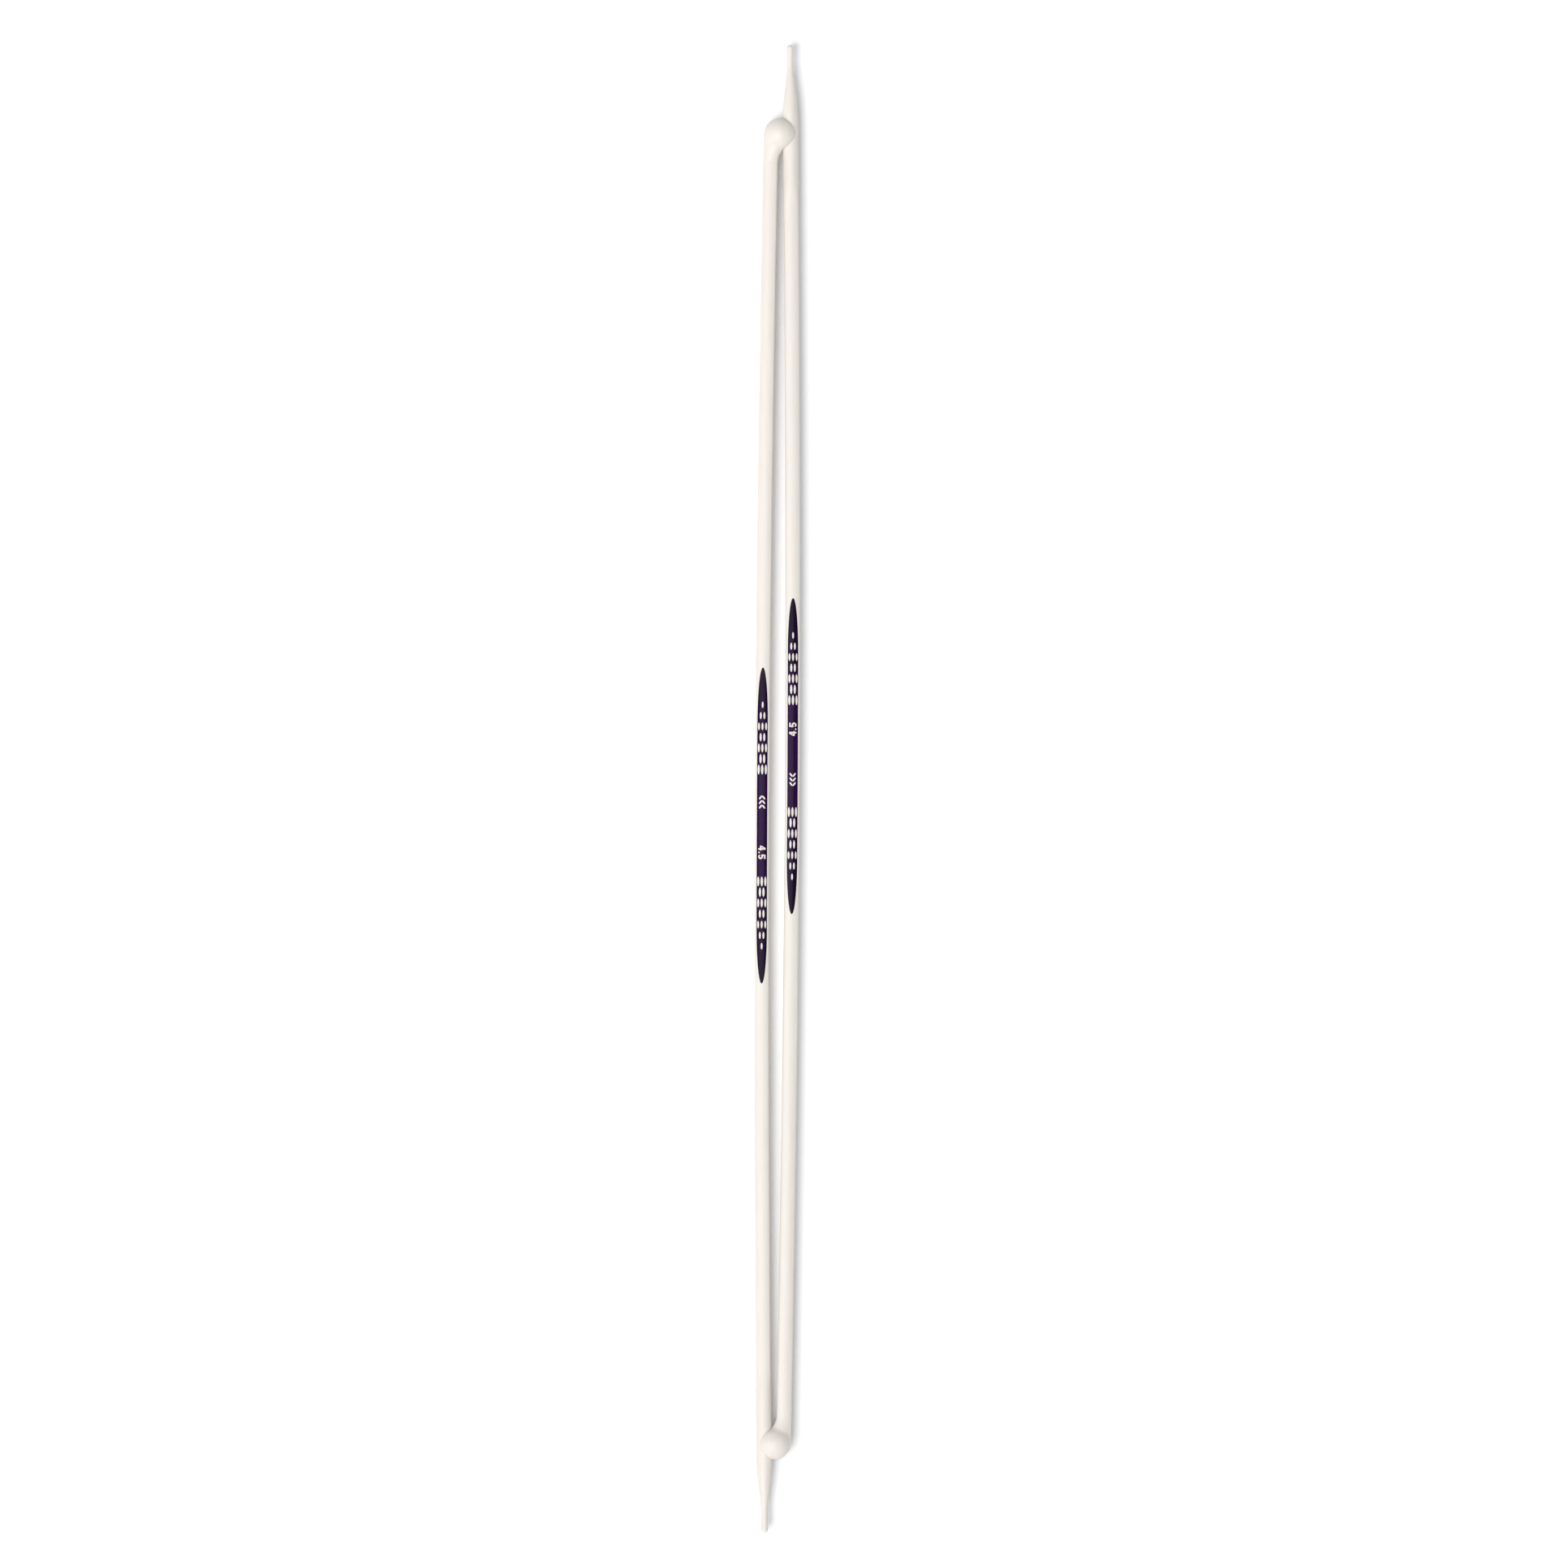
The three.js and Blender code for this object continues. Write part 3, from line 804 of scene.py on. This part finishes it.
def make_piece(name, points, faces, turn, material, sharp_above=None):
    """An object from points in millimetres, turned about Z and welded where points meet."""
    mesh = bpy.data.meshes.new(name)
    metres = Matrix.Rotation(turn, 3, "Z")
    mesh.from_pydata([metres @ Vector(p) for p in points * MM], [], faces)
    mesh.validate()
    bm = bmesh.new()
    bm.from_mesh(mesh)
    bmesh.ops.remove_doubles(bm, verts=bm.verts, dist=WELD * MM)
    loose = [v for v in bm.verts if not v.link_faces]
    bmesh.ops.delete(bm, geom=loose, context="VERTS")
    bmesh.ops.recalc_face_normals(bm, faces=bm.faces)
    bm.to_mesh(mesh)
    bm.free()
    mesh.shade_smooth()
    if sharp_above is not None:
        mesh.set_sharp_from_angle(angle=sharp_above)
    mesh.materials.append(material)
    piece = bpy.data.objects.new(name, mesh)
    bpy.context.collection.objects.link(piece)
    return piece


ivory = ivory_polymer()
aubergine = aubergine_print()
moulding = moulding_mesh()
flat = flat_panel()
for side, turn in (("left", 0.0), ("right", pi)):
    body = f"{side}_needle"
    needle = make_piece(f"{side}_needle_moulding", *moulding, turn, ivory)
    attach(needle, body)
    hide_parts(f"{side}_needle_head", f"{side}_needle_shaft")
    panel = panel_mesh(*flat, PRINT_MIDDLES[side])
    printed = make_piece(f"{side}_needle_panel", *panel, turn, aubergine, PRINT_SHARP_ANGLE)
    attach(printed, body)
    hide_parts(f"{side}_needle_print")

# ---- Floor, light and camera, in metres ----------------------------------------------------------

FLOOR_HALF = 40.0
FLOOR_TONES = [(0.93, 0.93, 0.93), (0.94, 0.94, 0.94)]
FLOOR_ROUGHNESS = 0.9
FLOOR_SPECULAR = 0.1
FRAME_WIDTH = 0.4432
FRAME_PLANE_Z = 0.0045
FRAME_ROLL = radians(0.31)
FRAME_OFFSET = (0.00188, 0.00135)
LENS_MM = 200.0
SENSOR_MM = 36.0
KEY_DIRECTION = Vector((-0.45, -0.5, 1.1))
KEY_STRENGTH = 1.85
KEY_ANGLE = radians(36)
SKY_COLOUR = (0.94, 0.97, 1, 1)
SKY_STRENGTH = 0.48
STRIP_DIRECTION = Vector((-0.23, 0, 1))
STRIP_AT = Vector((-0.345, 0, 1.5))
STRIP_WIDTH = 0.22
STRIP_LENGTH = 1.6
STRIP_STRENGTH = 6.5


def floor_material():
    material, tree, shader = new_material("pale_floor")
    place = tree.nodes.new("ShaderNodeTexCoord").outputs["Object"]
    tone = noise_node(tree, place, scale=3.0)
    link(tree, ramp_node(tree, tone, TONE_STOPS, FLOOR_TONES), shader.inputs["Base Color"])
    shader.inputs["Roughness"].default_value = FLOOR_ROUGHNESS
    shader.inputs["Specular IOR Level"].default_value = FLOOR_SPECULAR
    return material


def add_floor():
    mesh = bpy.data.meshes.new("floor")
    corners = [(-FLOOR_HALF, -FLOOR_HALF, 0), (FLOOR_HALF, -FLOOR_HALF, 0)]
    corners += [(FLOOR_HALF, FLOOR_HALF, 0), (-FLOOR_HALF, FLOOR_HALF, 0)]
    mesh.from_pydata(corners, [], [(0, 1, 2, 3)])
    mesh.materials.append(floor_material())
    floor = bpy.data.objects.new("floor", mesh)
    bpy.context.collection.objects.link(floor)


def add_light(name, kind, direction, strength):
    """A light that shines from this direction."""
    light = bpy.data.lights.new(name, kind)
    light.energy = strength
    lamp = bpy.data.objects.new(name, light)
    lamp.rotation_mode = "QUATERNION"
    lamp.rotation_quaternion = direction.to_track_quat("Z", "Y")
    bpy.context.collection.objects.link(lamp)
    return lamp


def add_lights():
    key = add_light("key", "SUN", KEY_DIRECTION, KEY_STRENGTH)
    key.data.angle = KEY_ANGLE
    strip = add_light("strip", "AREA", STRIP_DIRECTION, STRIP_STRENGTH)
    strip.location = STRIP_AT
    strip.data.shape = "RECTANGLE"
    strip.data.size = STRIP_WIDTH
    strip.data.size_y = STRIP_LENGTH
    strip.visible_camera = False
    world = bpy.data.worlds.new("studio")
    world.use_nodes = True
    sky = world.node_tree.nodes["Background"]
    sky.inputs["Color"].default_value = SKY_COLOUR
    sky.inputs["Strength"].default_value = SKY_STRENGTH
    bpy.context.scene.world = world


def add_camera():
    """Straight above the pair, far off, so that the needles are seen in plan."""
    camera = bpy.data.cameras.new("camera")
    camera.lens = LENS_MM
    camera.sensor_width = SENSOR_MM
    distance = FRAME_WIDTH * LENS_MM / SENSOR_MM
    camera.clip_end = 2 * FLOOR_HALF
    holder = bpy.data.objects.new("camera", camera)
    offset = Matrix.Rotation(FRAME_ROLL, 2) @ Vector(FRAME_OFFSET)
    holder.location = (offset.x, offset.y, FRAME_PLANE_Z + distance)
    holder.rotation_euler = (0, 0, FRAME_ROLL)
    bpy.context.collection.objects.link(holder)
    bpy.context.scene.camera = holder


add_floor()
add_lights()
add_camera()
bpy.context.scene.view_settings.view_transform = "Standard"
